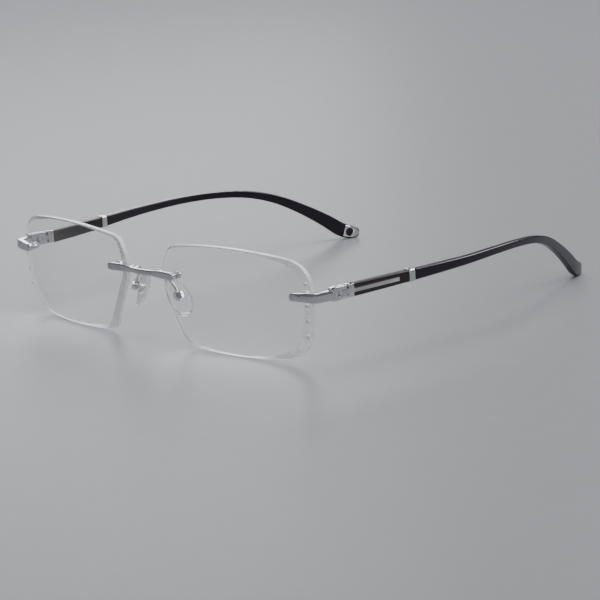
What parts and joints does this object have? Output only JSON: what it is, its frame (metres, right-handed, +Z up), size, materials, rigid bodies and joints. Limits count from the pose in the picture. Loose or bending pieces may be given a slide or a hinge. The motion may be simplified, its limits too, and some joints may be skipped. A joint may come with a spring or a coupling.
{
  "type": "eyeglasses",
  "caption": "Rimless eyeglasses with bevelled clear lenses, a metal bridge, adjustable nose pads and folding black temples with metal inlays.",
  "frame": {"origin": "on the resting surface, under the middle of the glasses' bounding box", "axes": "+X to the wearer's left, +Y back along the open temples, +Z up; the lenses face -Y"},
  "size_m": [0.1408, 0.1512, 0.0329],
  "materials": {
    "lens_glass": "clear polished lens with bright bevelled edges",
    "polished_metal": "mirror-polished silver metal",
    "black_plastic": "semi-gloss black",
    "clear_pad": "clear smooth silicone",
    "clear_sleeve": "clear plastic",
    "stone": "cut and sparkling"
  },
  "bodies": {
    "frame": {"bridge": "polished_metal", "left_lens": "lens_glass", "left_gem_1": "stone", "left_gem_2": "stone", "left_gem_3": "stone", "left_gem_4": "stone", "left_bridge_bush": "clear_sleeve", "left_bridge_washer": "clear_sleeve", "left_bridge_nut": "polished_metal", "left_endpiece_bush": "clear_sleeve", "left_endpiece_washer": "clear_sleeve", "left_endpiece_nut": "polished_metal", "left_pad_box": "polished_metal", "left_pad_screw": "polished_metal", "left_pad_arm": "polished_metal", "left_endpiece": "polished_metal", "left_hinge_screw": "polished_metal", "right_lens": "lens_glass", "right_gem_1": "stone", "right_gem_2": "stone", "right_gem_3": "stone", "right_gem_4": "stone", "right_bridge_bush": "clear_sleeve", "right_bridge_washer": "clear_sleeve", "right_bridge_nut": "polished_metal", "right_endpiece_bush": "clear_sleeve", "right_endpiece_washer": "clear_sleeve", "right_endpiece_nut": "polished_metal", "right_pad_box": "polished_metal", "right_pad_screw": "polished_metal", "right_pad_arm": "polished_metal", "right_endpiece": "polished_metal", "right_hinge_screw": "polished_metal"},
    "left_temple": {"left_temple_joint": "polished_metal", "left_temple_front": "black_plastic", "left_inlay": "polished_metal", "left_ring": "polished_metal", "left_temple_arm": "black_plastic", "left_tip_plate": "polished_metal", "left_tip_dot": "black_plastic"},
    "left_pad": {"left_nose_pad": "clear_pad", "left_pad_core": "polished_metal"},
    "right_temple": {"right_temple_joint": "polished_metal", "right_temple_front": "black_plastic", "right_inlay": "polished_metal", "right_ring": "polished_metal", "right_temple_arm": "black_plastic", "right_tip_plate": "polished_metal", "right_tip_dot": "black_plastic"},
    "right_pad": {"right_nose_pad": "clear_pad", "right_pad_core": "polished_metal"}
  },
  "joints": [
    {"name": "left_temple_fold", "type": "hinge", "parent": "frame", "child": "left_temple", "pos_m": [0.0655, -0.05679, 0.0209], "axis": [0, 0, 1], "range_deg": [0, 84]},
    {"name": "right_temple_fold", "type": "hinge", "parent": "frame", "child": "right_temple", "pos_m": [-0.0655, -0.05679, 0.0209], "axis": [0, 0, -1], "range_deg": [0, 79]},
    {"name": "left_pad_rock", "type": "hinge", "parent": "frame", "child": "left_pad", "pos_m": [0.00988, -0.06729, 0.01472], "axis": [-0.3223, -0.8739, -0.3639], "range_deg": [-3, 6]},
    {"name": "right_pad_rock", "type": "hinge", "parent": "frame", "child": "right_pad", "pos_m": [-0.00988, -0.06729, 0.01472], "axis": [0.3223, -0.8739, -0.3639], "range_deg": [-6, 3]}
  ]
}
